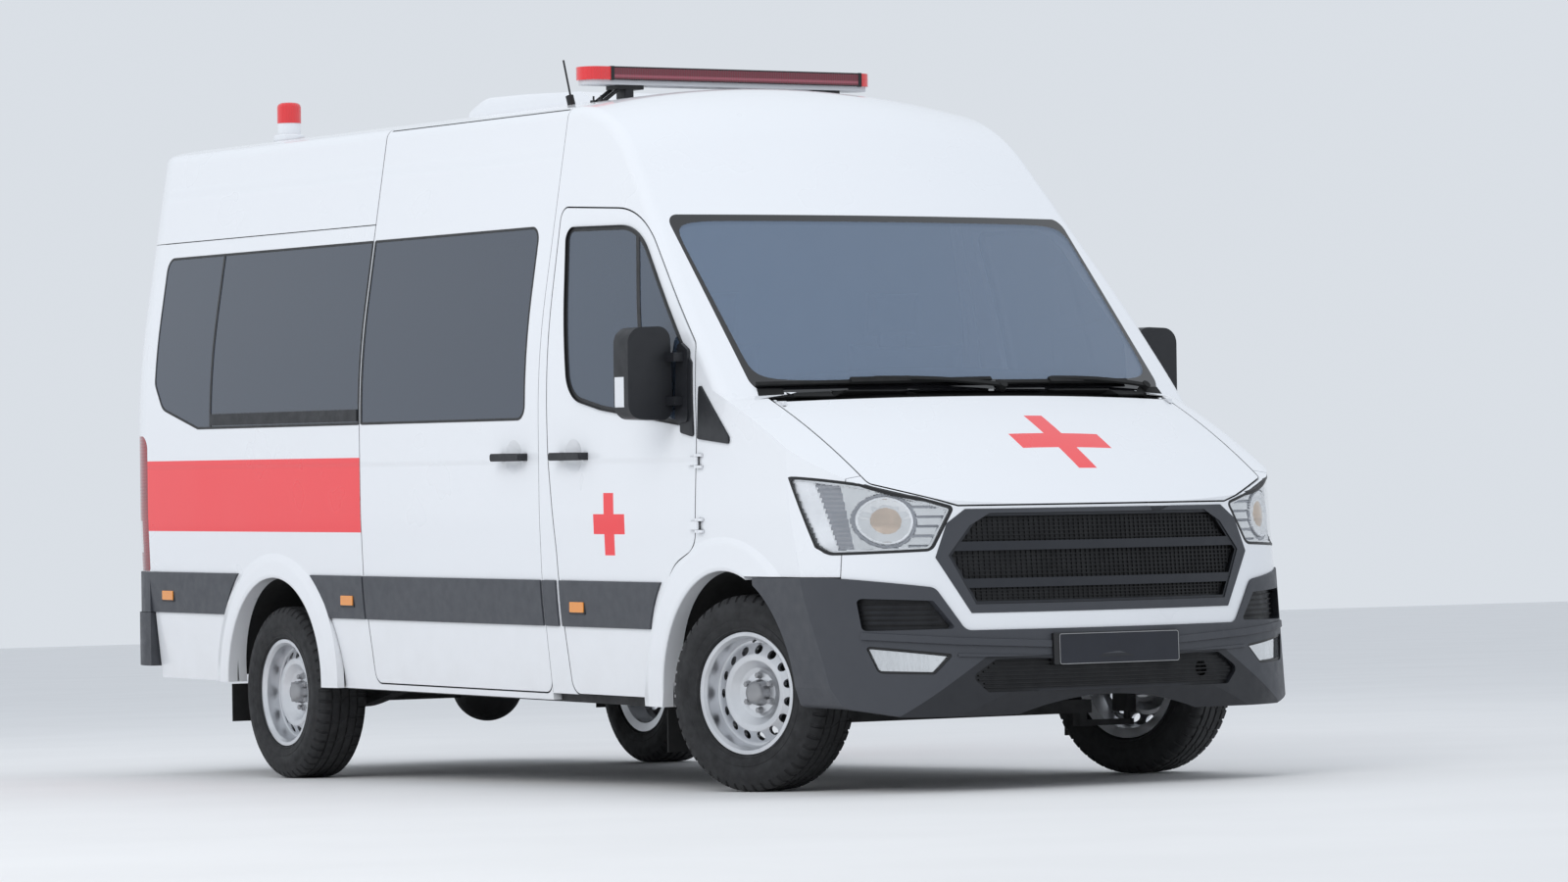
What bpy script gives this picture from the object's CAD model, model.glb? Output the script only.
import bmesh
import bpy
from math import atan2, cos, hypot, pi, radians, sin
from mathutils import Matrix, Vector
from mathutils.bvhtree import BVHTree


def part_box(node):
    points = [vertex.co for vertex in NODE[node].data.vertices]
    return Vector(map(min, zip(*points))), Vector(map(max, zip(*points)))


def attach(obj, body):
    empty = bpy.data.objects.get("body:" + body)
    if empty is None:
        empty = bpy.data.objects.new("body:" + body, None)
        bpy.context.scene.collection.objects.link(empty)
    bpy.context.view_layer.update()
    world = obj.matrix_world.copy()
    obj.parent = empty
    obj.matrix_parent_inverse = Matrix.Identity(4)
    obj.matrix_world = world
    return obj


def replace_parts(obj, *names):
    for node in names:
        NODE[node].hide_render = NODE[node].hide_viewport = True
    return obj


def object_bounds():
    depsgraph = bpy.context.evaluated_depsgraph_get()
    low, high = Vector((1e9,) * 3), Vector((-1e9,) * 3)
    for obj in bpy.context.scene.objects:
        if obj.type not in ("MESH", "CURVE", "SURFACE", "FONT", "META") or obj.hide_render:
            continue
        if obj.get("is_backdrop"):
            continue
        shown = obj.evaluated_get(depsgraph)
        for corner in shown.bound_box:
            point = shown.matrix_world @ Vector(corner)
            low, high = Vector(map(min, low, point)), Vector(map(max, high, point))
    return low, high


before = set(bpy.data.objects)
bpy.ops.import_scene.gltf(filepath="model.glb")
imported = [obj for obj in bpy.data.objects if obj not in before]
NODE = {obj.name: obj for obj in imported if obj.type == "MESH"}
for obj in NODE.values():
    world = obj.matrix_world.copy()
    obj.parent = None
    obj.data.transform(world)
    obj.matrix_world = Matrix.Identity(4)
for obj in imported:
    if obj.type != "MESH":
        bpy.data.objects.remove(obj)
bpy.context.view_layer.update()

# The drawing's frame: millimetres, x from the front axle, z from the road, leaned nose-down
RAKE = radians(1.5)
AXLE_Z = 0.356
WHEELBASE = 3.670
TRACK_HALF = 0.856
KING_Y = 0.760
STEER_REST = 18
SIDES = (("left", 1), ("right", -1))
FRONT_X = -0.025
rear_low, rear_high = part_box("rim_rear_left")
SHIFT = (rear_low.x + rear_high.x) / 2 + WHEELBASE
AT = Matrix.Translation((SHIFT, 0, AXLE_Z)) @ Matrix.Rotation(RAKE, 4, "Y")
AT = AT @ Matrix.Translation((0, 0, -AXLE_Z)) @ Matrix.Scale(0.001, 4)
BACK = AT.inverted()


def wheel_place(x, side, spin):
    """A wheel's own axes in millimetres: y outward from its middle, x and z across it."""
    place = Matrix.Translation((SHIFT + x, side * KING_Y, AXLE_Z))
    place = place @ Matrix.Rotation(radians(spin), 4, "Z")
    place = place @ Matrix.Translation((0, side * (TRACK_HALF - KING_Y), 0))
    return place @ Matrix.Scale(0.001, 4) @ Matrix.Diagonal((1, side, 1, 1))


# Camera: far away with a long lens, near the ground, to the van's right front
CAMERA_PLACE = Vector((17.7517 + SHIFT, -11.5704, 0.7125))
YAW = radians(148.71)
PITCH = radians(1.515)
ROLL = radians(-1.53)
look = Vector((cos(YAW) * cos(PITCH), sin(YAW) * cos(PITCH), sin(PITCH)))
level = Vector((sin(YAW), -cos(YAW), 0))
upright = level.cross(look)
right = level * cos(ROLL) + upright * sin(ROLL)
up = upright * cos(ROLL) - level * sin(ROLL)
turn = Matrix((right, up, -look)).transposed().to_4x4()
camera_data = bpy.data.cameras.new("camera")
camera_data.lens = 131.56
camera_data.sensor_width = 36
camera_data.shift_x = 0.0070
camera_data.shift_y = 0.0006
camera_data.clip_end = 200
camera = bpy.data.objects.new("camera", camera_data)
camera.matrix_world = Matrix.Translation(CAMERA_PLACE) @ turn
bpy.context.scene.collection.objects.link(camera)
bpy.context.scene.camera = camera
bpy.context.scene.view_settings.view_transform = "Standard"


# Materials


class Nodes:
    """Short ways to add nodes to a tree."""

    def __init__(self, tree):
        self.tree = tree

    def put(self, socket, value):
        """Links another node's output to a socket, or sets it to a number, a vector or a colour."""
        if isinstance(value, bpy.types.NodeSocket):
            self.tree.links.new(value, socket)
        elif socket.type == "RGBA":
            socket.default_value = (*value, 1)
        else:
            socket.default_value = value

    def add(self, kind, sockets, **settings):
        """A new node: its settings by name, its sockets by name or number."""
        made = self.tree.nodes.new(kind)
        for key, value in settings.items():
            setattr(made, key, value)
        for key, value in sockets.items():
            self.put(made.inputs[key], value)
        return made

    def math(self, operation, *values):
        return self.add("ShaderNodeMath", dict(enumerate(values)), operation=operation).outputs[0]

    def between(self, value, low, high):
        return self.math("COMPARE", value, (low + high) / 2, abs(high - low) / 2)


class Shader(Nodes):
    """A material with a Principled shader."""

    def __init__(self, name, colour, roughness, metallic=0.0, **sockets):
        self.material = bpy.data.materials.new(name)
        self.material.use_nodes = True
        super().__init__(self.material.node_tree)
        self.main = self.tree.nodes["Principled BSDF"]
        self.coordinates = self.tree.nodes.new("ShaderNodeTexCoord")
        self.colour = colour
        self.bump_end = None
        self.paint(colour)
        self.set_main("Roughness", roughness)
        self.set_main("Metallic", metallic)
        for key, value in sockets.items():
            self.set_main(key.replace("_", " "), value)

    def set_main(self, key, value):
        self.put(self.main.inputs[key], value)

    def paint(self, colour):
        self.set_main("Base Color", colour)

    def noise(self, scale, detail=3.0):
        place = self.coordinates.outputs["Object"]
        sockets = {"Scale": scale, "Detail": detail, "Roughness": 0.55, "Vector": place}
        return self.add("ShaderNodeTexNoise", sockets).outputs["Fac"]

    def ramp(self, value, stops):
        """A colour between two stops, each a place and a colour."""
        made = self.add("ShaderNodeValToRGB", {"Fac": value})
        for element, (place, colour) in zip(made.color_ramp.elements, stops):
            element.position = place
            element.color = (*colour, 1)
        return made.outputs["Color"]

    def mapped(self, value, low, high, to_low=0.0, to_high=1.0, **settings):
        """A value carried from one range to another."""
        sockets = {"Value": value, "From Min": low, "From Max": high, "To Min": to_low, "To Max": to_high}
        return self.add("ShaderNodeMapRange", sockets, **settings).outputs["Result"]

    def mixed(self, factor, a, b, **settings):
        """Colour a where the factor is 0 and b where it is 1."""
        sockets = {"Factor": factor, "A": a, "B": b}
        return self.add("ShaderNodeMix", sockets, data_type="RGBA", **settings).outputs["Result"]

    def openness(self, reach):
        """How open the space before a surface is, from 0 in a narrow gap to 1."""
        return self.add("ShaderNodeAmbientOcclusion", {"Distance": reach}, samples=6).outputs["AO"]

    def vary(self, scale, amount):
        """The base colour, a little darker and lighter in soft patches."""
        dark = tuple(c * (1 - amount) for c in self.colour)
        light = tuple(min(c * (1 + amount), 1) for c in self.colour)
        colour = self.ramp(self.noise(scale), [(0.35, dark), (0.65, light)])
        self.paint(colour)
        return colour

    def rough(self, scale, low, high):
        """Roughness between two values in patches."""
        self.set_main("Roughness", self.mapped(self.noise(scale), 0.3, 0.7, low, high))

    def bump(self, height, distance, strength=1.0):
        """Relief, added to the relief that is there already."""
        made = self.add("ShaderNodeBump", {"Distance": distance, "Strength": strength, "Height": height})
        if self.bump_end is not None:
            self.put(made.inputs["Normal"], self.bump_end)
        self.bump_end = made.outputs["Normal"]
        self.set_main("Normal", self.bump_end)

    def ribs(self, direction, scale, distance, strength):
        """Fine flutes across one direction."""
        sockets = {"Scale": scale, "Vector": self.coordinates.outputs["Object"]}
        wave = self.add("ShaderNodeTexWave", sockets, wave_type="BANDS", bands_direction=direction)
        self.bump(wave.outputs["Fac"], distance, strength)

    def drawing_axes(self):
        """Sockets with x, y and z of the leaning body, in metres of the drawing."""
        sockets = {0: self.coordinates.outputs["Object"], 1: (SHIFT, 0, AXLE_Z)}
        moved = self.add("ShaderNodeVectorMath", sockets, operation="SUBTRACT")
        sockets = {"Vector": moved.outputs[0], "Axis": (0, 1, 0), "Angle": -RAKE}
        turned = self.add("ShaderNodeVectorRotate", sockets, rotation_type="AXIS_ANGLE")
        split = self.add("ShaderNodeSeparateXYZ", {0: turned.outputs[0]}).outputs
        return {"x": split["X"], "y": split["Y"], "z": self.math("ADD", split["Z"], AXLE_Z)}


RED = (0.93, 0.02, 0.028)
SCREEN_BLACK = (0.008, 0.008, 0.009)
DUST = (0.42, 0.39, 0.35)
JOINT_REACH = 0.024
# Pressed steps along the side: from and to which height, and how deep
ROOF_STEP = (2.350, 2.410, -0.010)
WAIST_STEP = (1.188, 1.214, 0.004)


def white_paint(name):
    """White body paint with a clear coat, a faint unevenness and road dust low down."""
    made = Shader(name, (0.84, 0.85, 0.87), 0.32, Coat_Weight=0.7, Coat_Roughness=0.06)
    made.rough(2.0, 0.26, 0.36)
    made.bump(made.noise(24, 2), 0.0004, 0.12)
    return made


def add_crease(made, height, low, high, depth):
    """A pressed step along the side, between two heights of the drawing."""
    made.bump(made.mapped(height, low, high, interpolation_type="SMOOTHSTEP"), depth)


def add_dust(made, colour, height):
    """Dust that gathers near the road, and dark lines where panels meet."""
    amount = made.math("MULTIPLY", made.mapped(height, 0.75, 0.30, 0.0, 0.22), made.noise(9, 5))
    dusty = made.mixed(amount, colour, DUST)
    shade = made.ramp(made.openness(JOINT_REACH), [(0.18, (0.02, 0.02, 0.025)), (0.66, (1, 1, 1))])
    made.paint(made.mixed(1, dusty, shade, blend_type="MULTIPLY"))


def marked_paint(name, areas=(), waist=True, upper=False, mark=RED, outside="y"):
    """White paint with areas of another colour, each a list of (axis, low, high) ranges in metres.

    The areas show only on faces that look outward along y, or upward where outside is z.
    waist and upper say which of the pressed steps it has.
    """
    made = white_paint(name)
    axes = made.drawing_axes()
    total = None
    for ranges in areas:
        inside = None
        for axis, low, high in ranges:
            part = made.between(axes[axis], low, high)
            inside = part if inside is None else made.math("MULTIPLY", inside, part)
        total = inside if total is None else made.math("MAXIMUM", total, inside)
    colour = made.colour
    if total is not None:
        if outside is not None:
            facing = made.add("ShaderNodeSeparateXYZ", {0: made.coordinates.outputs["Normal"]})
            outward = facing.outputs["Z"]
            if outside == "y":
                outward = made.math("MULTIPLY", facing.outputs["Y"], axes["y"])
            total = made.math("MULTIPLY", total, made.math("GREATER_THAN", outward, 0.0))
        colour = made.mixed(total, made.colour, mark)
    add_dust(made, colour, axes["z"])
    if upper:
        add_crease(made, axes["z"], *ROOF_STEP)
    if waist:
        add_crease(made, axes["z"], *WAIST_STEP)
    return made.material


STRIPE = [("x", -4.860, -2.846), ("z", 0.928, 1.229)]
DOOR_CROSS = [
    [("x", -0.8665, -0.7915), ("z", 0.849, 1.082)],
    [("x", -0.946, -0.712), ("z", 0.928, 1.003)],
]
BONNET_CROSS = [
    [("x", 0.395, 0.750), ("y", 0.031, 0.109)],
    [("x", 0.525, 0.621), ("y", -0.123, 0.263)],
]
SCREEN_FOOT = [("x", 0.08, 0.32), ("y", -0.90, 0.90), ("z", 1.385, 1.447)]

WHITE = marked_paint("white_paint", waist=False)
WHITE_SIDE = marked_paint("white_paint_stripe", [STRIPE])
WHITE_DOOR = marked_paint("white_paint_door", DOOR_CROSS)
WHITE_BONNET = marked_paint("white_paint_bonnet", BONNET_CROSS, waist=False, outside="z")
WHITE_SLIDER = marked_paint("white_paint_slider", upper=True)
WHITE_CAB = marked_paint("white_paint_cab", [SCREEN_FOOT], waist=False, mark=SCREEN_BLACK, outside=None)
WHITE_UPPER = marked_paint("white_paint_upper", waist=False, upper=True)


def grained(name, colour, low, high, grain, depth=0.0004, strength=0.5):
    """Plastic with a fine grain, its roughness between low and high."""
    made = Shader(name, colour, high)
    made.rough(20, low, high)
    made.bump(made.noise(grain, 4), depth, strength)
    return made


def plastic(name, colour, low, high, grain):
    made = grained(name, colour, low, high, grain)
    made.vary(6, 0.12)
    return made.material


def tinted(name, tint, roughness=0.02):
    made = Shader(name, tint, roughness, Specular_IOR_Level=0.6, Coat_Weight=0.6, Coat_Roughness=0.01)
    made.rough(1.4, roughness, roughness + 0.02)
    return made


def glass(name, tint, alpha, roughness=0.02):
    """Thin glass: tinted where it darkens the view, with a clear reflection."""
    made = tinted(name, tint, roughness)
    made.set_main("Alpha", alpha)
    return made.material


def metal(name, colour, low, high, scale):
    made = Shader(name, colour, (low + high) / 2, 1.0)
    made.vary(scale, 0.08)
    made.rough(scale * 2, low, high)
    made.bump(made.noise(scale * 20, 3), 0.0001, 0.4)
    return made.material


DARK = plastic("dark_grey_plastic", (0.050, 0.053, 0.062), 0.42, 0.6, 900)
BLACK = plastic("black_plastic", (0.012, 0.012, 0.013), 0.35, 0.5, 700)
MATTE_BLACK = plastic("matte_black", (0.009, 0.009, 0.009), 0.75, 0.9, 300)
GREY_TRIM = plastic("grey_trim", (0.19, 0.195, 0.205), 0.55, 0.7, 500)
CHASSIS = plastic("chassis_paint", (0.018, 0.018, 0.019), 0.5, 0.75, 120)
DARK_GLASS = glass("privacy_glass", (0.024, 0.038, 0.064), 0.93)
DOOR_GLASS = glass("door_glass", (0.045, 0.068, 0.105), 0.86)
LENS = glass("clear_lens", (0.75, 0.78, 0.8), 0.07)
RED_LENS = glass("red_lens", (0.55, 0.01, 0.012), 0.92, 0.12)
CHROME = metal("bright_chrome", (0.78, 0.79, 0.8), 0.08, 0.16, 4)
SILVER = metal("silver_wheel_paint", (0.74, 0.75, 0.77), 0.30, 0.42, 8)
STEEL = metal("bare_steel", (0.4, 0.4, 0.41), 0.35, 0.5, 12)
rubber_shader = Shader("tyre_rubber", (0.02, 0.02, 0.021), 0.75)
rubber_shader.vary(25, 0.25)
rubber_shader.rough(30, 0.65, 0.85)
rubber_shader.bump(rubber_shader.noise(400, 4), 0.0006, 0.6)
RUBBER = rubber_shader.material
cloth_shader = Shader("seat_cloth", (0.07, 0.073, 0.08), 0.9, Sheen_Weight=0.3)
cloth_shader.vary(14, 0.2)
cloth_shader.bump(cloth_shader.noise(900, 2), 0.0008, 0.8)
CLOTH = cloth_shader.material

# Places on the mouldings and mirrors, in metres of the drawing
MOULDINGS_TOP = 0.8
MIRROR_LAMP = {"x": (-0.412, -0.345), "z": (1.395, 1.505)}
MIRROR_LAMP_INNER = 1.208


def trim_plastic(name):
    """Dark grey mouldings low down; black mirrors and handles above, with a white lamp on each mirror."""
    made = grained(name, (0.014, 0.015, 0.018), 0.38, 0.55, 800)
    axes = made.drawing_axes()
    low = made.math("LESS_THAN", axes["z"], MOULDINGS_TOP)
    plain = made.mixed(low, made.colour, (0.058, 0.062, 0.072))
    lamp = made.math("GREATER_THAN", made.math("ABSOLUTE", axes["y"]), MIRROR_LAMP_INNER)
    for axis, reach in MIRROR_LAMP.items():
        lamp = made.math("MULTIPLY", lamp, made.between(axes[axis], *reach))
    made.paint(made.mixed(lamp, plain, (0.75, 0.76, 0.78)))
    return made.material


def deep_plastic(name, light, dark, reach, grain):
    """Plastic that goes black in its recesses."""
    made = grained(name, light, 0.42, 0.58, grain, strength=0.4)
    made.paint(made.ramp(made.openness(reach), [(0.45, dark), (0.95, light)]))
    return made.material


def split_paint(name, above, below, height):
    """Two finishes on one node, parted at a height of the drawing."""
    made = Shader(name, above, 0.4)
    made.rough(15, 0.32, 0.5)
    made.bump(made.noise(600, 3), 0.0003, 0.4)
    high = made.math("GREATER_THAN", made.drawing_axes()["z"], height)
    made.paint(made.mixed(high, below, above))
    return made.material


# The bumper's lower opening: its top, half its width there, and how fast it widens downward
OPENING_TOP = 0.497
OPENING_HALF = 0.512
OPENING_SLOPE = 1.5


def bumper_plastic(name):
    """Grained grey plastic, black round the lower opening and below it."""
    made = grained(name, (0.050, 0.053, 0.062), 0.42, 0.58, 900, 0.0005, 0.6)
    axes = made.drawing_axes()
    drop = made.math("SUBTRACT", OPENING_TOP, axes["z"])
    side = made.math("MULTIPLY_ADD", drop, OPENING_SLOPE, OPENING_HALF)
    within = made.math("LESS_THAN", made.math("ABSOLUTE", axes["y"]), side)
    dark = made.math("MULTIPLY", within, made.math("GREATER_THAN", drop, 0.0))
    made.paint(made.mixed(dark, made.colour, (0.014, 0.015, 0.019)))
    return made.material


TRIM = trim_plastic("side_trim_plastic")
GRILLE_BLACK = deep_plastic("grille_plastic", (0.015, 0.017, 0.023), (0.001, 0.001, 0.002), 0.05, 700)
BUMPER = bumper_plastic("bumper_plastic")
BAR_BASE = split_paint("lightbar_base_paint", (0.62, 0.63, 0.65), (0.012, 0.013, 0.016), 2.662)
SLAT = plastic("slat_black", (0.004, 0.004, 0.005), 0.55, 0.7, 500)
BEZEL = plastic("lamp_bezel", (0.80, 0.81, 0.83), 0.2, 0.3, 200)
SMOKE = metal("smoked_chrome", (0.30, 0.31, 0.34), 0.12, 0.2, 6)
WARM = metal("warm_reflector", (0.62, 0.50, 0.40), 0.12, 0.22, 20)
AMBER = glass("amber_lens", (0.85, 0.30, 0.04), 0.97, 0.15)
MIRROR = metal("mirror_glass", (0.55, 0.6, 0.65), 0.02, 0.04, 1)
PLATE = plastic("blank_plate", (0.010, 0.012, 0.020), 0.4, 0.5, 300)


CLEAR_BAND = (0.835, 0.971)
CLEAR_BEHIND = -4.93
# The light bar's bright ends, the joint line along it, and the beacon, which stands behind BEACON_X
BAR_ENDS = (-0.54, 0.59)
BAR_JOINT = (2.692, 2.702)
BEACON_X = -3.0


def tail_lens(name):
    """Red lamp glass with a clear band low down, ribbed inside."""
    made = Shader(name, (0.26, 0.006, 0.012), 0.12, Coat_Weight=0.6, Coat_Roughness=0.02)
    axes = made.drawing_axes()
    band = made.between(axes["z"], *CLEAR_BAND)
    clear = made.math("MULTIPLY", band, made.math("LESS_THAN", axes["x"], CLEAR_BEHIND))
    made.paint(made.mixed(clear, made.vary(3, 0.25), (0.66, 0.64, 0.63)))
    made.ribs("Z", 22, 0.002, 0.5)
    return made.material


def bar_lens(name):
    """Red warning lens: bright at its ends and on the beacon, dark along its middle, with fine flutes."""
    made = Shader(name, (0.5, 0.01, 0.02), 0.14, Coat_Weight=0.7, Coat_Roughness=0.02)
    axes = made.drawing_axes()
    right_end = made.math("LESS_THAN", axes["y"], BAR_ENDS[0])
    ends = made.math("MAXIMUM", right_end, made.math("GREATER_THAN", axes["y"], BAR_ENDS[1]))
    bright = made.math("MAXIMUM", ends, made.math("LESS_THAN", axes["x"], BEACON_X))
    line = made.between(axes["z"], *BAR_JOINT)
    along = made.mixed(line, (0.15, 0.008, 0.022), (0.34, 0.07, 0.10))
    made.paint(made.mixed(bright, along, (0.80, 0.03, 0.035)))
    made.ribs("Y", 30, 0.003, 0.6)
    return made.material


BORDER_POWER = 14


def framed_glass(name, tint, alpha, centre, half, axis_pair):
    """Thin glass with an opaque black border: centre and half sizes in metres of the drawing."""
    made = tinted(name, tint)
    axes = made.drawing_axes()
    reach = None
    for axis, middle, size in zip(axis_pair, centre, half):
        away = made.math("ABSOLUTE", made.math("DIVIDE", made.math("SUBTRACT", axes[axis], middle), size))
        away = made.math("POWER", away, BORDER_POWER)
        reach = away if reach is None else made.math("ADD", reach, away)
    border = made.math("GREATER_THAN", reach, 1)
    see = made.math("MULTIPLY_ADD", border, 1 - alpha, alpha)
    made.set_main("Alpha", see)
    made.paint(made.mixed(border, tint, (0.006, 0.006, 0.007)))
    return made.material


TAIL_LENS = tail_lens("tail_lamp_glass")
BAR_LENS = bar_lens("warning_lens")
SCREEN = framed_glass("windscreen_glass", (0.20, 0.27, 0.38), 0.5, (0, 1.785), (0.868, 0.302), "yz")

# The nodes of each finish; tyres, rims and what isn't named follow below
LOOKS = [
    (BLACK, "aerial steering_wheel"),
    (MATTE_BLACK, "arch_liners cowl fuel_tank"),
    (CHASSIS, "engine_block bulkhead chassis_rails floor_pan front_subframe knuckle_left knuckle_right"),
    (CHASSIS, "leaf_springs rear_axle"),
    (WHITE, "front_wings nose_panel rear_door_left rear_door_right roof_panel roof_units"),
    (WHITE_BONNET, "bonnet"),
    (WHITE_CAB, "cab_shell"),
    (WHITE_DOOR, "front_door_left front_door_right"),
    (WHITE_SIDE, "side_panel_left side_panel_right"),
    (WHITE_SLIDER, "sliding_door"),
    (WHITE_UPPER, "upper_sides"),
    (TRIM, "door_trim_left door_trim_right side_trim"),
    (STEEL, "exhaust stretcher"),
    (BUMPER, "front_bumper"),
    (DARK, "rear_bumper"),
    (GRILLE_BLACK, "grilles"),
    (DOOR_GLASS, "front_door_glass_left front_door_glass_right"),
    (DARK_GLASS, "rear_door_glass_left rear_door_glass_right side_glass"),
    (SCREEN, "windscreen"),
    (LENS, "front_lenses"),
    (CHROME, "headlamp_bowls"),
    (TAIL_LENS, "tail_lamps"),
    (BAR_LENS, "warning_lenses"),
    (BAR_BASE, "lightbar_base"),
    (CLOTH, "front_seats"),
]
FINISH = {name: material for material, names in LOOKS for name in names.split()}
for name, thing in NODE.items():
    material = FINISH.get(name, GREY_TRIM)
    if name.startswith("tyre"):
        material = RUBBER
    if name.startswith("rim"):
        material = SILVER
    thing.data.materials.clear()
    thing.data.materials.append(material)

# Making pieces, in the drawing's millimetres unless a wheel's place is given

FORWARD = Vector((1, 0, 0))


class Piece:
    """A mesh that is drawn part by part, and then rides on a body."""

    def __init__(self, name, body, material, slot=None, place=AT):
        self.name = name
        self.body = body
        self.material = material
        self.slot = slot
        self.place = place
        self.mesh = bmesh.new()

    def rows(self, rows, around=True, capped=True):
        """Joins rows of points into a skin, and closes its two ends."""
        made = [[self.mesh.verts.new(point) for point in row] for row in rows]
        count = len(made[0])
        last = count if around else count - 1
        for first, second in zip(made, made[1:]):
            for i in range(last):
                j = (i + 1) % count
                self.mesh.faces.new((first[i], first[j], second[j], second[i]))
        if capped:
            self.mesh.faces.new(made[0])
            self.mesh.faces.new(made[-1])

    def prism(self, points, shift):
        """A flat outline, carried along shift."""
        shift = Vector(shift)
        self.rows([points, [Vector(p) + shift for p in points]])

    def block(self, low, high):
        (x0, y0, z0), (x1, y1, z1) = low, high
        self.prism([(x0, y0, z0), (x1, y0, z0), (x1, y1, z0), (x0, y1, z0)], (0, 0, z1 - z0))

    def turned(self, profile, steps, middle=(0, 0, 0)):
        """A solid about a Y axis through middle, from (radius, y) pairs."""
        mx, my, mz = middle
        rows = []
        for radius, y in profile:
            turns = [2 * pi * i / steps for i in range(steps)]
            rows.append([(mx + radius * cos(a), my + y, mz + radius * sin(a)) for a in turns])
        self.rows(rows)

    def tube(self, points, radius, sides=10):
        """A round bar through the points."""
        points = [Vector(p) for p in points]
        rows = []
        for i, point in enumerate(points):
            way = (points[min(i + 1, len(points) - 1)] - points[max(i - 1, 0)]).normalized()
            across = way.cross(Vector((0.13, 0.21, 0.97))).normalized()
            third = way.cross(across)
            turns = [2 * pi * k / sides for k in range(sides)]
            rows.append([point + across * radius * cos(a) + third * radius * sin(a) for a in turns])
        self.rows(rows)

    def bar(self, path, width, low, high):
        """A flat bar along a surface, from low to high above it; path holds points with their normals."""
        points = [Vector(point) for point, _ in path]
        rows = []
        for i, (_, normal) in enumerate(path):
            way = (points[min(i + 1, len(points) - 1)] - points[max(i - 1, 0)]).normalized()
            side = way.cross(normal).normalized() * width / 2
            near, far = points[i] - side, points[i] + side
            corners = [(near, low), (far, low), (far, high), (near, high)]
            rows.append([corner + normal * lift for corner, lift in corners])
        self.rows(rows)

    def weld(self):
        bmesh.ops.remove_doubles(self.mesh, verts=self.mesh.verts, dist=0.01)

    def make(self, bevel=0, smooth=35, thickness=0):
        """Finishes the mesh, in metres of the frame, and hangs it on its body."""
        bmesh.ops.transform(self.mesh, matrix=self.place, verts=self.mesh.verts)
        bmesh.ops.recalc_face_normals(self.mesh, faces=self.mesh.faces)
        for face in self.mesh.faces:
            face.smooth = True
        data = bpy.data.meshes.new(self.name)
        self.mesh.to_mesh(data)
        self.mesh.free()
        data.set_sharp_from_angle(angle=radians(smooth))
        data.materials.append(self.material)
        made = bpy.data.objects.new(self.name, data)
        bpy.context.scene.collection.objects.link(made)
        if thickness:
            shell = made.modifiers.new("shell", "SOLIDIFY")
            shell.thickness = thickness / 1000
            shell.offset = -1
        if bevel:
            edge = made.modifiers.new("edge", "BEVEL")
            edge.width = bevel / 1000
            edge.segments = 2
            edge.limit_method = "ANGLE"
            edge.angle_limit = radians(smooth)
            edge.harden_normals = True
        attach(made, self.body)
        return made


def prism_piece(name, body, material, slot, outline, shift, bevel):
    """A whole piece from one flat outline."""
    made = Piece(name, body, material, slot)
    made.prism(outline, shift)
    made.make(bevel=bevel)


def bar_piece(name, body, material, slot, path, width, low, high, bevel=0):
    """A whole piece from one bar."""
    made = Piece(name, body, material, slot)
    made.bar(path, width, low, high)
    made.make(bevel=bevel)


def tree_of(*names):
    """A search tree over CAD nodes, in the drawing's millimetres."""
    corners = []
    faces = []
    for name in names:
        data = NODE[name].data
        start = len(corners)
        corners += [BACK @ vertex.co for vertex in data.vertices]
        faces += [[start + i for i in face.vertices] for face in data.polygons]
    return BVHTree.FromPolygons(corners, faces)


def meet(tree, start, way):
    """Where a line first meets a surface, and the surface's normal towards the line's start."""
    place, normal, _, _ = tree.ray_cast(Vector(start), Vector(way))
    if place is None:
        return None, None
    if normal.dot(Vector(way)) > 0:
        normal = -normal
    return place, normal


def from_side(tree, x, z, side):
    return meet(tree, (x, side * 1400, z), (0, -side, 0))


def from_front(tree, y, z):
    return meet(tree, (2000, y, z), (-1, 0, 0))


def from_back(tree, y, z):
    return meet(tree, (-6000, y, z), (1, 0, 0))


def along(cast, start, end, steps, least=0):
    """A straight row of points on a surface, each with its normal, where |y| is at least so much."""
    (u0, v0), (u1, v1) = start, end
    path = []
    for i in range(steps + 1):
        share = i / steps
        place, normal = cast(u0 + (u1 - u0) * share, v0 + (v1 - v0) * share)
        if place is not None and abs(place.y) >= least:
            path.append((place, normal))
    return path


def sides_of(outline):
    """The sides of a closed outline, as pairs of ends."""
    return zip(outline, outline[1:] + outline[:1])


def inside(point, outline):
    """Whether a point lies within a closed outline of pairs."""
    u, v = point
    found = False
    for (u0, v0), (u1, v1) in sides_of(outline):
        if (v0 > v) != (v1 > v) and u < (u1 - u0) * (v - v0) / (v1 - v0) + u0:
            found = not found
    return found


def shrunk(outline, by):
    """A convex outline with every side moved inward."""
    area = sum(u0 * v1 - u1 * v0 for (u0, v0), (u1, v1) in sides_of(outline))
    turn_sign = 1 if area > 0 else -1
    lines = []
    for (u0, v0), (u1, v1) in sides_of(outline):
        length = hypot(u1 - u0, v1 - v0)
        nu, nv = -(v1 - v0) / length * turn_sign, (u1 - u0) / length * turn_sign
        lines.append((nu, nv, nu * u0 + nv * v0 + by))
    made = []
    for (a, b, c), (d, e, f) in zip(lines[-1:] + lines[:-1], lines):
        share = a * e - b * d
        made.append(((c * e - b * f) / share, (a * f - c * d) / share))
    return made


def softened(outline, radius):
    """An outline of pairs with its corners rounded."""
    steps = 5
    made = []
    count = len(outline)
    for i, corner in enumerate(outline):
        here = Vector(corner)
        before = (Vector(outline[i - 1]) - here).normalized()
        after = (Vector(outline[(i + 1) % count]) - here).normalized()
        for k in range(steps + 1):
            share = k / steps
            start, end = here + before * radius, here + after * radius
            point = start * (1 - share) ** 2 + here * 2 * share * (1 - share) + end * share**2
            made.append((point.x, point.y))
    return made


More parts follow.
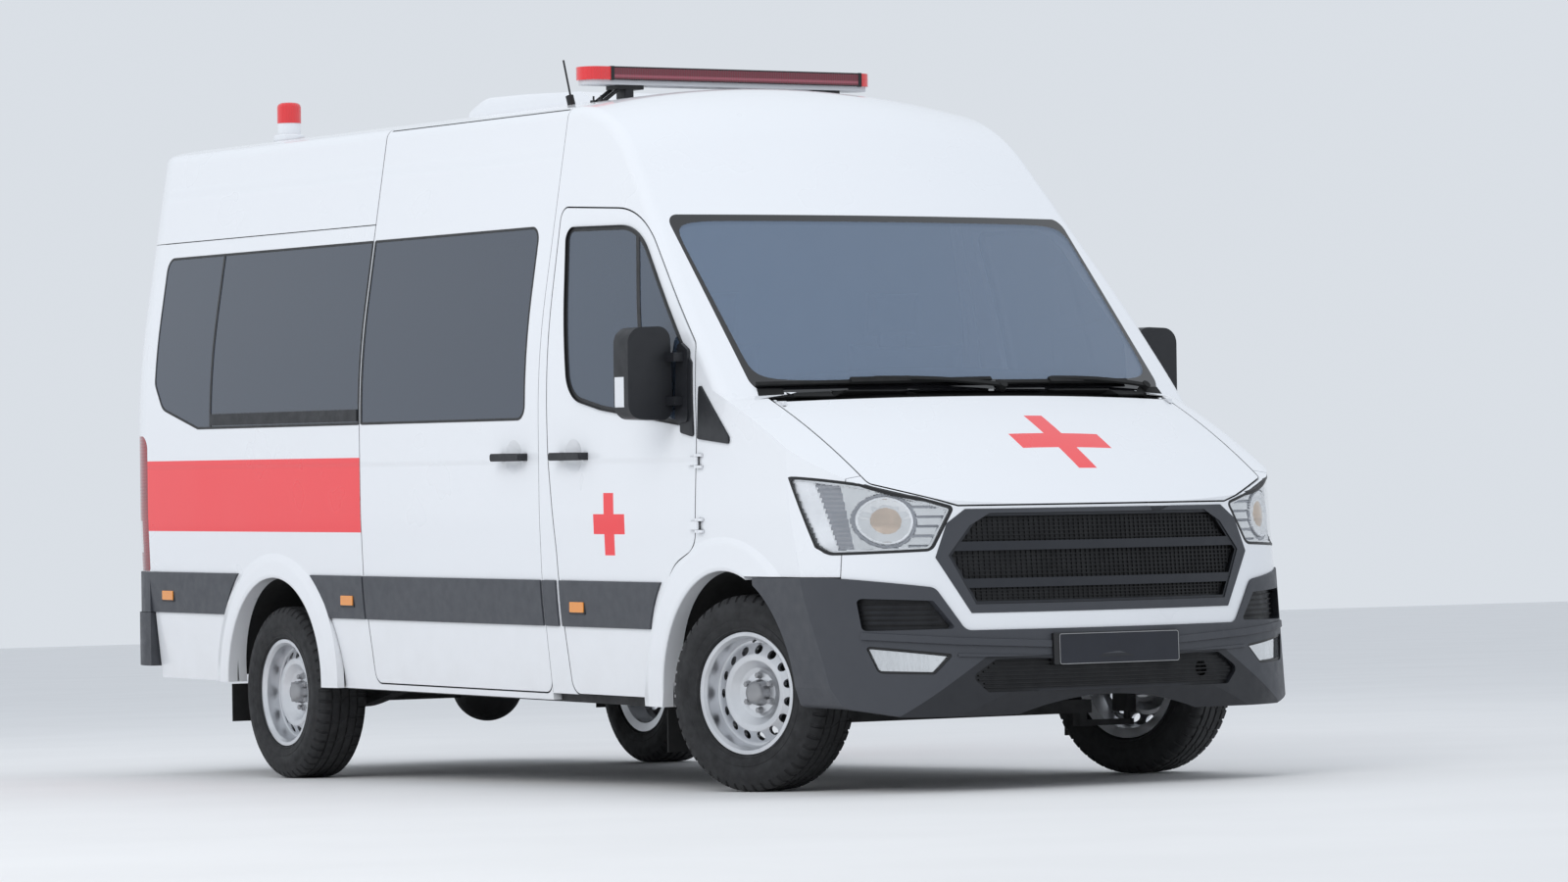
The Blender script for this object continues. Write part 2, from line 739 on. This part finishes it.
def oblong(middle, half, radius):
    """A rectangle with rounded corners, as pairs."""
    (u, v), (a, b) = middle, half
    return softened([(u - a, v - b), (u + a, v - b), (u + a, v + b), (u - a, v + b)], radius)


def face_regions(mesh, limit):
    """Sets of faces that join smoothly."""
    regions = []
    seen = set()
    for start in mesh.faces:
        if start in seen:
            continue
        region = {start}
        waiting = [start]
        while waiting:
            face = waiting.pop()
            for edge in face.edges:
                for other in edge.link_faces:
                    if other not in region and face.normal.dot(other.normal) > limit:
                        region.add(other)
                        waiting.append(other)
        seen |= region
        regions.append(region)
    return regions


def edge_loops(region):
    """The closed rows of vertices round a set of faces, each edge walked as its face does."""
    following = {}
    for face in region:
        for loop in face.loops:
            others = [f for f in loop.edge.link_faces if f in region]
            if len(others) == 1:
                following[loop.vert] = loop.link_loop_next.vert
    loops = []
    while following:
        start, here = next(iter(following.items()))
        del following[start]
        row = [start]
        while here is not start and here in following:
            row.append(here)
            here = following.pop(here)
        loops.append(row)
    return loops


SMALLEST_PANE = 9000
BAND_DEPTH = 1.5


def rim_band(name, node, body, width, lift, axis):
    """A thin raised band round the faces of a node's panes that look forward (x) or outward (y)."""
    source = bmesh.new()
    source.from_mesh(NODE[node].data)
    bmesh.ops.transform(source, matrix=BACK, verts=source.verts)
    bmesh.ops.remove_doubles(source, verts=source.verts, dist=0.02)
    source.normal_update()
    band = Piece(name, body, BLACK, "side_trim")
    for region in face_regions(source, 0.8):
        area = sum(face.calc_area() for face in region)
        middle = sum((face.calc_center_median() * face.calc_area() for face in region), Vector()) / area
        facing = sum((face.normal * face.calc_area() for face in region), Vector())
        outward = facing.x if axis == "x" else facing.y * middle.y
        if area < SMALLEST_PANE or outward <= 0:
            continue
        normals = {}
        for face in region:
            for vertex in face.verts:
                normals[vertex] = normals.get(vertex, Vector()) + face.normal * face.calc_area()
        for row in edge_loops(region):
            if len(row) < 4:
                continue
            rows = []
            for i, vertex in enumerate(row):
                normal = normals[vertex].normalized()
                before = (vertex.co - row[i - 1].co).normalized()
                after = (row[(i + 1) % len(row)].co - vertex.co).normalized()
                inward = normal.cross(before) + normal.cross(after)
                reach = inward.length / 2
                inward = inward.normalized() * width / max(reach, 0.5)
                rows.append([
                    vertex.co - normal * BAND_DEPTH, vertex.co + inward - normal * BAND_DEPTH,
                    vertex.co + inward + normal * lift, vertex.co + normal * lift,
                ])
            band.rows(rows + rows[:1], capped=False)
    band.weld()
    source.free()
    band.make(smooth=30)


# Wheels: tyres with tread, wheel nuts and hub caps

SIDEWALL = [
    (203, 86), (222, 88), (226, 102), (231, 107.5), (236, 106), (242, 109.5), (252, 112.6), (262, 115),
    (265, 113.6), (270, 115.8), (290, 117.6), (304, 116), (308, 113.6), (318, 112), (329, 108.5),
    (338, 103.8), (346, 98), (352, 91),
]
TREAD = [
    (355, 84), (355.4, 62), (347.5, 60), (347.5, 54), (355.8, 52), (355.8, 25), (348, 23), (348, 17),
    (355.8, 15),
]
BLOCKS = 50
# Steps round one block, and whether the tread is notched there
BLOCK_CUT = [(0.0, 0), (0.07, 1), (0.25, 1), (0.32, 0)]
# Notches in the shoulders, and in the crown of every second block: from which radius and width, how deep
SHOULDER = (338, 61, 6)
CROWN = (350, 53, 3)


def tyre_rows():
    """Cross-sections of a tyre round its axis, closed on themselves, with notches in the shoulders."""
    outer = SIDEWALL + TREAD
    section = outer + [(radius, -y) for radius, y in reversed(outer)]
    rows = []
    for block in range(BLOCKS):
        for share, cut in BLOCK_CUT:
            row = []
            for radius, y in section:
                shift = 0.5 if y < 0 else 0
                turned_by = 2 * pi * (block + share + shift) / BLOCKS
                depth = 0
                if cut and radius >= SHOULDER[0] and abs(y) > SHOULDER[1]:
                    depth = SHOULDER[2]
                if cut and radius > CROWN[0] and abs(y) < CROWN[1] and block % 2:
                    depth = CROWN[2]
                width = y * (0.985 if depth and abs(y) > 90 else 1)
                row.append(((radius - depth) * cos(turned_by), width, (radius - depth) * sin(turned_by)))
            rows.append(row)
    return rows


HUB_CAP = [
    (33, 19), (48, 19), (48, 25), (45, 28), (43.5, 44), (40, 54), (33, 61), (24, 64), (12, 65), (4, 65.2),
]
NUTS = 6
NUT_CIRCLE = 63
# Each wheel's x in metres, its side, and how far it is steered at rest
WHEELS = {
    "front_left": (FRONT_X, 1, STEER_REST),
    "front_right": (FRONT_X, -1, STEER_REST),
    "rear_left": (-WHEELBASE, 1, 0),
    "rear_right": (-WHEELBASE, -1, 0),
}
for name, (x, side, spin) in WHEELS.items():
    place = wheel_place(x, side, spin)
    body = "wheel_" + name
    tyre = Piece("treaded_tyre_" + name, body, RUBBER, "tyre", place)
    rows = tyre_rows()
    tyre.rows(rows + rows[:1], capped=False)
    tyre.weld()
    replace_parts(tyre.make(smooth=38), "tyre_" + name)
    cap = Piece("hub_cap_" + name, body, STEEL, "rim", place)
    cap.turned(HUB_CAP, 40)
    cap.make(smooth=50)
    nuts = Piece("wheel_nuts_" + name, body, STEEL, "rim", place)
    for i in range(NUTS):
        turned_by = 2 * pi * (i + 0.5) / NUTS
        middle = (NUT_CIRCLE * cos(turned_by), 0, NUT_CIRCLE * sin(turned_by))
        nuts.turned([(13.5, 19.5), (13.5, 22), (11.5, 24.5), (11.5, 25)], 18, middle)
        nuts.turned([(10.8, 24), (10.8, 37), (8.6, 40), (2, 40.5)], 6, middle)
    nuts.make(bevel=0.5, smooth=30)
    valve = Piece("valve_" + name, body, BLACK, "tyre", place)
    valve.tube([(0, 22, 196), (0, 40, 190), (0, 52, 184)], 4)
    valve.make()

# Headlamps: reflectors, a bright surround and ribs behind the clear lens

HEADLAMP = [(588, 1023), (676, 870), (960, 858), (986, 890), (1030, 1140), (860, 1104)]
LAMP_MIDDLE = (815, 978)
LAMP_EDGE = 17
# The rings round the main reflector's middle, from the inside out, by their outer radii
RINGS = {"bowl": 46, "dish": 76, "ring": 84, "halo": 96}
# The outer strips' inner edges, slanted from the lamp's foot: y there, and how much it grows with height
LAMP_FOOT = 870
OUTER_STRIP = (940, 0.16)
FLUTED_STRIP = (905, 0.10)
# The inner corner's strips: where they end, their foot, pitch and width
STRIPS_END, STRIP_FOOT, STRIP_PITCH, STRIP_WIDTH = 752, 886, 34, 7
FINISHES = [CHROME, BEZEL, SMOKE, WARM]
# Each zone's finish, and how far behind the lens it lies where that doesn't change
ZONE_FINISH = {
    "edge": BEZEL, "bowl": WARM, "dish": CHROME, "ring": BEZEL, "halo": SMOKE, "outer": BEZEL,
    "flutes": SMOKE, "strip": SMOKE, "slope": CHROME, "ribs": CHROME,
}
ZONE_DEPTH = {"edge": 10, "ring": 10, "halo": 18, "outer": 11, "strip": 18.5}


def lamp_edge(y, z):
    """How far one place lies inside the lamp's outline."""
    edge = 1e9
    for (y0, z0), (y1, z1) in sides_of(HEADLAMP):
        length = hypot(y1 - y0, z1 - z0)
        edge = min(edge, abs((y1 - y0) * (z0 - z) - (y0 - y) * (z1 - z0)) / length)
    return edge


def lamp_zone(y, z):
    """The zone of the lamp's inside at one place."""
    if lamp_edge(y, z) < LAMP_EDGE:
        return "edge"
    main = hypot(y - LAMP_MIDDLE[0], z - LAMP_MIDDLE[1])
    for zone, radius in RINGS.items():
        if main < radius:
            return zone
    for zone, (foot_y, slope) in (("outer", OUTER_STRIP), ("flutes", FLUTED_STRIP)):
        if y > foot_y + (z - LAMP_FOOT) * slope:
            return zone
    if y < STRIPS_END:
        return "strip" if (z - STRIP_FOOT) % STRIP_PITCH < STRIP_WIDTH else "slope"
    return "ribs"


def lamp_depth(y, z):
    """How far the lamp's inside lies behind its lens at one place, in millimetres."""
    zone = lamp_zone(y, z)
    across, up = y - LAMP_MIDDLE[0], z - LAMP_MIDDLE[1]
    main = hypot(across, up)
    if zone == "bowl":
        return 12.5 + 6 * (main / RINGS["bowl"]) ** 2
    if zone == "dish":
        share = (main - RINGS["bowl"]) / (RINGS["dish"] - RINGS["bowl"])
        return 18.5 - 6 * share**2 + 0.6 * cos(12 * atan2(up, across))
    if zone == "flutes":
        return 16 + 1.5 * cos(z / 2.6)
    if zone == "slope":
        return 11 + 5 * ((z - STRIP_FOOT) % STRIP_PITCH) / STRIP_PITCH
    if zone == "ribs":
        return 14.5 + 1.6 * cos(y / 3.4)
    return ZONE_DEPTH[zone]


STEP = 3
lens_tree = tree_of("front_lenses")
border = shrunk(HEADLAMP, 7)
for name, side in SIDES:
    lamp = Piece("lamp_reflector_" + name, "vehicle", CHROME, "headlamp_bowls")
    placed = {}
    for row in range(857, 1143, STEP):
        for column in range(588, 1034, STEP):
            if not inside((column, row), border):
                continue
            place, normal = from_front(lens_tree, side * column, row)
            if place is not None:
                placed[column, row] = lamp.mesh.verts.new(place - normal * lamp_depth(column, row))
    for column, row in list(placed):
        square = [(column, row), (column + STEP, row), (column + STEP, row + STEP), (column, row + STEP)]
        if all(key in placed for key in square):
            face = lamp.mesh.faces.new([placed[key] for key in square])
            zone = lamp_zone(column + STEP / 2, row + STEP / 2)
            face.material_index = FINISHES.index(ZONE_FINISH[zone])
    reflector = lamp.make(smooth=28, thickness=0.8)
    for finish in FINISHES[1:]:
        reflector.data.materials.append(finish)

# Grilles: thin slats before the dark backs

GRILLE = [(512, 1015), (642, 855), (545, 664), (-545, 664), (-642, 855), (-512, 1015)]
LOWER_GRILLE = [(480, 486), (572, 428), (515, 372), (-515, 372), (-572, 428), (-480, 486)]
DUCT = [(912, 706), (690, 696), (615, 597), (902, 592)]
grille_tree = tree_of("grilles")
slats = Piece("grille_slats", "vehicle", SLAT, "grilles")


def fill_with_slats(outline, heights, columns, reach, slant=0.0):
    """Slats across and upright, standing on the back of one opening."""
    for height in heights:
        held = [step for step in range(-1040, 1041, 20) if inside((step, height), outline)]
        met = [from_front(grille_tree, step, height)[0] for step in held]
        path = [(place, FORWARD) for place in met if place is not None]
        if len(path) > 1:
            slats.bar(path, 4, -2, reach)
    for column in columns:
        held = [row for row in range(300, 1100, 6) if inside((column, row), outline)]
        if len(held) < 3:
            continue
        row = heights[len(heights) // 2]
        place, _ = from_front(grille_tree, column, row)
        ends = [(place.x - slant * (z - row), column, z) for z in (held[0], held[-1])]
        slats.bar([(end, FORWARD) for end in ends], 3, -2, reach - 2)


SLAT_ROWS = (692, 704, 716, 728, 782, 796, 810, 824, 838, 852, 908, 922, 936, 950, 964, 978)
fill_with_slats(shrunk(GRILLE, 30), SLAT_ROWS, range(-600, 601, 20), 7, 0.105)
fill_with_slats(shrunk(LOWER_GRILLE, 4), (388, 402, 416, 430, 444, 458, 472), (), 9)
for name, side in SIDES:
    outline = [(side * y, z) for y, z in DUCT]
    fill_with_slats(shrunk(outline, 4), (612, 630, 648, 666, 684), (), 8)
slats.make()

# Number plates, left blank, with their holders

bumper_tree = tree_of("front_bumper", "grilles")
PLATE_MIDDLE = (17, 517)
PLATE_THICKNESS = 1.8
BUMPER_STEP = 490
LEAN = 0.03
step_x = from_front(bumper_tree, PLATE_MIDDLE[0], BUMPER_STEP)[0].x
plate_x = step_x - LEAN * (PLATE_MIDDLE[1] - BUMPER_STEP) - PLATE_THICKNESS


def on_plate(outline, lift):
    """Points of an outline on the plate's leaning plane, lifted off the bumper."""
    return [(plate_x - LEAN * (z - PLATE_MIDDLE[1]) + lift, y, z) for y, z in outline]


holder_edge = on_plate(oblong((7.5, 518), (269.5, 56), 8), -26)
prism_piece("front_plate_holder", "vehicle", BLACK, "front_bumper", holder_edge, (25.4, 0, 0), 1)
plate_edge = on_plate(oblong(PLATE_MIDDLE, (253, 51), 8), -1)
prism_piece("front_plate_blank", "vehicle", PLATE, "rim", plate_edge, (PLATE_THICKNESS, 0, 0), 0.6)
frame_edge = on_plate(oblong(PLATE_MIDDLE, (255, 53), 9), 0)
frame_path = [(point, FORWARD) for point in frame_edge + frame_edge[:1]]
bar_piece("front_plate_frame", "vehicle", STEEL, "rim", frame_path, 2.4, -1.5, 1.4)

# The grille's wide dark surround, laid on the nose

SURROUND = [(600, 1015), (668, 846), (552, 650), (-552, 650), (-668, 846), (-600, 1015)]
nose_tree = tree_of("nose_panel", "grilles")
surround = Piece("grille_surround", "vehicle", BUMPER, "front_bumper")
rows = []
inner_edge = shrunk(GRILLE, 16)
for k in range(6):
    for step in range(24):
        share = step / 24
        edge = []
        for outline in (SURROUND, inner_edge):
            (y0, z0), (y1, z1) = outline[k], outline[(k + 1) % 6]
            place, _ = from_front(nose_tree, y0 + (y1 - y0) * share, z0 + (z1 - z0) * share)
            edge.append(place)
        outer, inner = edge
        if outer is None or inner is None:
            continue
        row = [(outer, -3), (outer, 2.5), (inner, 4), (inner, -3)]
        rows.append([place + FORWARD * lift for place, lift in row])
surround.rows(rows + rows[:1], capped=False)
surround.weld()
surround.make(smooth=25)

# Wipers, lying at the foot of the windscreen: blade ends, arm's tip and root, as y and height

screen_tree = tree_of("windscreen", "cowl")
WIPERS = [
    ((-880, 1463), (60, 1478), (-430, 1476), (90, 1450)),
    ((75, 1466), (720, 1470), (330, 1474), (800, 1448)),
]


def on_screen(y, z):
    return from_front(screen_tree, y, z)


wiper = Piece("wipers", "vehicle", MATTE_BLACK, "cowl")
for start, end, tip_place, root_place in WIPERS:
    blade = along(on_screen, start, end, 24)
    wiper.bar(blade, 5, -0.5, 9)
    wiper.bar(blade, 17, 9, 15)
    wiper.bar(blade[9:16], 26, 12, 24)
    root, root_normal = on_screen(*root_place)
    tip, tip_normal = on_screen(*tip_place)
    arm = []
    for i in range(9):
        share = i / 8
        normal = root_normal.lerp(tip_normal, share)
        arm.append((root.lerp(tip, share) + normal * (18 + 12 * sin(pi * share)), normal))
    wiper.bar(arm, 17, -5, 5)
    wiper.tube([root - root_normal * 6, root + root_normal * 26], 17, 20)
wiper.make(bevel=1.2)

# A seal between the windscreen's foot and the bonnet

foot_tree = tree_of("windscreen", "cowl", "cab_shell")
seal_path = along(lambda y, z: from_front(foot_tree, y, z), (-885, 1434), (885, 1434), 40)
bar_piece("windscreen_foot_seal", "vehicle", MATTE_BLACK, "cowl", seal_path, 52, -4, 1.5)

# Trim lines: the bumper's ridge, the slider's top seam and the dark joint between the side windows

ridge = Piece("bumper_ridge", "vehicle", BUMPER, "front_bumper")
ridge_tree = tree_of("front_bumper")
RIDGES = [
    ([(-905, 574), (-620, 553), (-262, 536)], 26, 8), ([(905, 574), (620, 553), (277, 536)], 26, 8),
    ([(-640, 505), (-262, 490)], 12, 6), ([(640, 505), (277, 490)], 12, 6),
]
for path, width, rise in RIDGES:
    points = []
    for start, end in zip(path, path[1:]):
        for place, normal in along(lambda y, z: from_front(ridge_tree, y, z), start, end, 16):
            if not points or (place - points[-1][0]).length > 1:
                points.append((place, normal))
    ridge.bar(points, width, -4, rise)
ridge.make(bevel=3)
side_tree = tree_of("sliding_door", "side_panel_right", "side_panel_left", "upper_sides", "side_glass")
LINES = [
    ("slider_top_seam", (-2838, 2546), (-1372, 2546), 6),
    ("window_joint_front", (-2840, 2100), (-2836, 1364), 12),
    ("window_joint_rear", (-2862, 2100), (-2858, 1364), 8),
]
for name, start, end, width in LINES:
    path = along(lambda x, z: from_side(side_tree, x, z, -1), start, end, 20, 700)
    bar_piece(name, "vehicle", BLACK, "side_trim", path, width, -2, 0.7)

# Light bar: end clamps, edge strips and braces down to the roof

BAR_X = -1647
bar_trim = Piece("lightbar_trim", "vehicle", BLACK, "lightbar_base")
roof_tree = tree_of("roof_panel", "upper_sides", "cab_shell")
for edge in (-1, 1):
    x = BAR_X + edge * 71.5
    bar_trim.block((x - 2, -540, 2681), (x + 2, 585, 2685))
    bar_trim.block((x - 2, -540, 2729), (x + 2, 585, 2734))
for side, clamp_y in ((1, 588), (-1, -545)):
    bar_trim.block((BAR_X - 73.5, clamp_y - 8, 2680), (BAR_X + 73.5, clamp_y + 8, 2735))
    for x_step in (-30, 30):
        foot, _ = meet(roof_tree, (BAR_X + x_step, side * 566, 3000), (0, 0, -1))
        bar_trim.tube([foot + Vector((0, 0, -3)), (BAR_X + x_step, side * 470, 2668)], 8)
        bar_trim.block(foot + Vector((-14, -16, -4)), foot + Vector((14, 16, 6)))
        bar_trim.tube([foot + Vector((0, side * 8, 0)), foot + Vector((0, side * 8, 22))], 4)
    bar_trim.block((BAR_X - 44, side * 450 - 60, 2648), (BAR_X + 44, side * 450 + 60, 2665))
bar_trim.make(bevel=1)

# Rubbers round the windows and headlamps

BANDS = [
    ("door_window_rubber_left", "front_door_glass_left", "door_front_left", 17, 1.2, "y"),
    ("door_window_rubber_right", "front_door_glass_right", "door_front_right", 17, 1.2, "y"),
    ("side_window_rubber", "side_glass", "vehicle", 10, 1.2, "y"),
    ("headlamp_outline", "front_lenses", "vehicle", 9, 1.0, "x"),
]
for name, node, body, width, lift, axis in BANDS:
    rim_band(name, node, body, width, lift, axis)

# The back: window rubbers, the skin of the upper corners, handle, blank plate, stop lamp and reflectors

back_tree = tree_of("rear_door_left", "rear_door_right", "rear_door_glass_left", "rear_door_glass_right")
high_back_tree = tree_of("roof_panel", "upper_sides")
bumper_back_tree = tree_of("rear_bumper")


def divided(outline, step):
    """The closed outline again, with points no further apart than step."""
    points = []
    for (y0, z0), (y1, z1) in sides_of(outline):
        count = max(1, int(hypot(y1 - y0, z1 - z0) / step))
        points += [(y0 + (y1 - y0) * k / count, z0 + (z1 - z0) * k / count) for k in range(count)]
    return points


REAR_PANE = softened([(95, 1372), (700, 1372), (680, 2080), (95, 2080)], 52)
for name, side in SIDES:
    ring = [from_back(back_tree, side * y, z) for y, z in divided(REAR_PANE, 40)]
    ring += ring[:1]
    bar_piece("rear_window_rubber_" + name, "door_rear_" + name, BLACK, "side_trim", ring, 13, -3, 1.4)


def corner_fill(side):
    """The body's skin round the upper outer corner of a rear door, as rows across the gap."""
    # The gap's inner and outer edge as (y, z), and how far the corner has turned there
    path = [((806, z), (829, z), 0) for z in (2174, 2200, 2230, 2260)]
    for step in range(13):
        turn = radians(step * 7.5)
        inner = (710 + 96 * cos(turn), 2290 + 96 * sin(turn))
        if step <= 6:
            outer = (829, 2290 + 19 * step)
        else:
            outer = (829 - 19.8 * (step - 6), 2404)
        path.append((inner, outer, turn))
    for y in (560, 420, 280, 140):
        path.append(((y, 2404.5 - 0.025 * y), (y, 2404), pi / 2))
    rows = []
    for (y0, z0), (y1, z1), turn in path:
        near, _ = from_back(back_tree, side * (y0 - 14 * cos(turn)), z0 - 14 * sin(turn))
        out, above = (3, 0) if z1 < 2404 else (0, 4)
        far, _ = from_back(high_back_tree, side * (y1 + out), z1 + above)
        start = Vector((near.x + 5, side * y0, z0))
        end = Vector((far.x + 1, side * y1, z1))
        middle = start.lerp(end, 0.5) - Vector((3 * cos(turn), 0, 0))
        front = [start, middle, end]
        rows.append(front + [place + FORWARD * 5 for place in reversed(front)])
    return rows


for name, side in SIDES:
    fill = Piece("rear_corner_skin_" + name, "vehicle", WHITE, "upper_side")
    fill.rows(corner_fill(side))
    fill.make(smooth=40)


# Blocks laid on the back, from low behind its surface to high in front of it
BACK_BLOCKS = [
    ("plate_holder", "door_rear_left", BLACK, "side_trim", back_tree, (400, 905), (272, 64), 6, 4, 10, 1.5),
    ("plate_blank", "door_rear_left", PLATE, "rim", back_tree, (400, 905), (260, 53), 2, 6, 8, 0.8),
    ("handle_base", "door_rear_right", BLACK, "side_trim", back_tree, (-90, 1180), (62, 30), 6, 3, 14, 1.5),
    ("handle_grip", "door_rear_right", BLACK, "side_trim", back_tree, (-90, 1186), (54, 12), 6, 19, 8, 4),
    ("high_stop_lamp", "vehicle", RED_LENS, "tail_lamps", high_back_tree, (0, 2475), (150, 14), 8, 5, 10, 2),
]
for name, side in SIDES:
    BACK_BLOCKS.append((
        "bumper_reflector_" + name, "vehicle", RED_LENS, "tail_lamps", bumper_back_tree,
        (side * 640, 470), (55, 17), 6, 2, 8, 1,
    ))
for name, body, material, slot, tree, middle, half, low, high, radius, bevel in BACK_BLOCKS:
    surface, _ = from_back(tree, *middle)
    outline = [(surface.x + low, y, z) for y, z in oblong(middle, half, radius)]
    prism_piece("rear_" + name, body, material, slot, outline, (-low - high, 0, 0), bevel)

# Window bars, where a pane is split

glass_tree = tree_of("front_door_glass_left", "front_door_glass_right", "side_glass")
SPLITS = [
    ("front_door_left", "door_front_left", 1, (-704, 2040), (-519, 1348), 24),
    ("front_door_right", "door_front_right", -1, (-704, 2040), (-519, 1348), 24),
    ("quarter_right", "vehicle", -1, (-4226, 2096), (-4226, 1370), 16),
    ("quarter_left", "vehicle", 1, (-4226, 2096), (-4226, 1370), 16),
]
for name, body, side, start, end, width in SPLITS:
    path = along(lambda x, z: from_side(glass_tree, x, z, side), start, end, 12, 850)
    bar_piece("window_bar_" + name, body, BLACK, "side_trim", path, width, -1, 2.2, 0.6)

# Side marker lamps on the mouldings

trim_tree = tree_of("side_trim", "door_trim_left", "door_trim_right")
MARKER_Z = 652
MARKERS = [("rear", -4679), ("middle", -2990), ("front", -1090)]
for name, x in MARKERS:
    for tag, side in SIDES:
        body = "door_front_" + tag if name == "front" else "vehicle"
        place, _ = from_side(trim_tree, x, MARKER_Z, side)
        ending = name + "_" + tag
        outline = [(u, place.y - side * 3, v) for u, v in oblong((x, MARKER_Z), (60, 27), 6)]
        prism_piece("marker_frame_" + ending, body, BLACK, "side_trim", outline, (0, side * 4.5, 0), 1)
        outline = [(u, place.y, v) for u, v in oblong((x, MARKER_Z), (53, 20), 5)]
        prism_piece("marker_lens_" + ending, body, AMBER, "tail_lamps", outline, (0, side * 5.5, 0), 2)

# Mirrors' glass, facing rearward

MIRROR_PANES = [
    [(1046, 1448), (1204, 1448), (1204, 1668), (1054, 1672)],
    [(1046, 1362), (1204, 1366), (1204, 1434), (1046, 1434)],
]
for name, side in SIDES:
    pane = Piece("mirror_glass_" + name, "door_front_" + name, MIRROR, "front_door_glass")
    for outline in MIRROR_PANES:
        pane.prism([(-419.5, side * y, z) for y, z in softened(outline, 30)], (3, 0, 0))
    pane.make(bevel=1)

# Soft goods: cab seats, bench pad and stretcher mattress

CUTS = 28
ROUNDING = 0.16
WAIST = 0.05
GROOVE_DEPTH = 0.45
EDGE_DROP = 0.45
SEAM = 0.05


def cushion(name, centre, half, lean, crown, seams, slot="front_seats", cross=0):
    """A crowned pad with sewn grooves: half sizes along its own axes, leaned about y in degrees."""
    pad = Piece(name, "vehicle", CLOTH, slot)
    turned = Matrix.Translation(Vector(centre)) @ Matrix.Rotation(radians(lean), 4, "Y")
    bmesh.ops.create_cube(pad.mesh, size=2)
    bmesh.ops.subdivide_edges(pad.mesh, edges=pad.mesh.edges, cuts=CUTS, use_grid_fill=True)
    for vertex in pad.mesh.verts:
        u, v, w = vertex.co
        rounded = 1 - ROUNDING * max(abs(w) - 0.2, 0) ** 3
        wide = u * (rounded - WAIST * (1 - v * v) * abs(u) ** 3)
        deep = v * (rounded - WAIST * (1 - wide * wide) * abs(v) ** 3)
        corner = max(abs(u), abs(v))
        w *= 1 - EDGE_DROP * corner**8
        groove = max([1 / (1 + ((v - line) / SEAM) ** 2) for line in seams], default=0)
        if cross:
            groove = max(groove, 1 / (1 + (((u * cross) % 1 - 0.5) / 0.12) ** 2))
        if w > 0:
            w += crown * (1 - u**2) * (1 - v**2) - groove * crown * GROOVE_DEPTH * (1 - corner**6)
        vertex.co = turned @ Vector((wide * half[0], deep * half[1], w * half[2]))
    made = pad.make(smooth=60)


SEATS = {"left": (250, 780), "right": (-780, -140)}
seat_frame = Piece("seat_frames", "vehicle", MATTE_BLACK, "front_seats")
for name, (y0, y1) in SEATS.items():
    middle = (y0 + y1) / 2
    half = (y1 - y0) / 2 - 12
    seams = (-0.55, 0.55) if name == "left" else (-0.62, 0.0, 0.62)
    cushion("seat_cushion_" + name, (-930, middle, 985), (245, half, 62), -3, 0.22, seams, cross=2)
    cushion("seat_back_" + name, (-1205, middle, 1330), (318, half, 52), -81, 0.25, seams, cross=3)
    heads = (middle,) if name == "left" else (middle - 150, middle + 150)
    for number, head_y in enumerate(heads):
        cushion("headrest_" + name + str(number), (-1252, head_y, 1762), (86, 118, 34), -84, 0.3, ())
        for post_y in (head_y - 60, head_y + 60):
            seat_frame.tube([(-1250, post_y, 1620), (-1250, post_y, 1720)], 7)
    seat_frame.block((-1140, y0 + 40, 602), (-760, y1 - 40, 925))
    seat_frame.block((-1265, y0 + 30, 900), (-1235, y1 - 30, 1400))
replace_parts(seat_frame.make(bevel=8), "front_seats")
cushion("stretcher_mattress", (-2950, 150, 1092), (930, 268, 34), 0, 0.25, (), "stretcher", cross=3)
cushion("bench_pad", (-2300, 700, 1040), (790, 190, 32), 0, 0.25, (), "side_bench", cross=4)

# Floor and light


def plane(name, low_x, high_x, low_y, high_y, z, material):
    mesh = bpy.data.meshes.new(name)
    corners = [(low_x, low_y, z), (high_x, low_y, z), (high_x, high_y, z), (low_x, high_y, z)]
    mesh.from_pydata(corners, [], [(0, 1, 2, 3)])
    made = bpy.data.objects.new(name, mesh)
    bpy.context.scene.collection.objects.link(made)
    mesh.materials.append(material)
    return made


floor_shader = Shader("floor", (0.80, 0.79, 0.78), 0.7)
floor_shader.vary(0.8, 0.015)
plane("floor", -90, 90, -90, 90, 0, floor_shader.material)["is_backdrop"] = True

world = bpy.data.worlds.new("studio")
bpy.context.scene.world = world
world.use_nodes = True
sky = Nodes(world.node_tree)
back = sky.tree.nodes["Background"]
sky.put(back.inputs["Color"], (0.76, 0.82, 0.90))
sky.put(back.inputs["Strength"], 0.92)
seen = sky.add("ShaderNodeBackground", {"Color": (0.70, 0.74, 0.79)})
rays = sky.add("ShaderNodeLightPath", {}).outputs
direct = sky.math("MAXIMUM", rays["Is Camera Ray"], rays["Is Transmission Ray"])
through = sky.math("MAXIMUM", rays["Is Glossy Ray"], direct)
choice = sky.add("ShaderNodeMixShader", {"Fac": through, 1: back.outputs[0], 2: seen.outputs[0]})
sky.put(sky.tree.nodes["World Output"].inputs["Surface"], choice.outputs[0])


def area_light(name, place, target, size, power):
    data = bpy.data.lights.new(name, "AREA")
    data.shape = "RECTANGLE"
    data.size, data.size_y = size
    data.energy = power
    made = bpy.data.objects.new(name, data)
    made.location = place
    made.rotation_euler = (Vector(target) - Vector(place)).to_track_quat("-Z", "Y").to_euler()
    made.visible_glossy = False
    bpy.context.scene.collection.objects.link(made)


area_light("key", (7, -10, 9), (0, 0, 1), (8, 6), 480)
area_light("fill", (-8, -9, 7), (0, 0, 1), (8, 6), 210)
area_light("top", (0, 3, 11), (0, 0, 1), (10, 6), 200)

low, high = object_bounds()
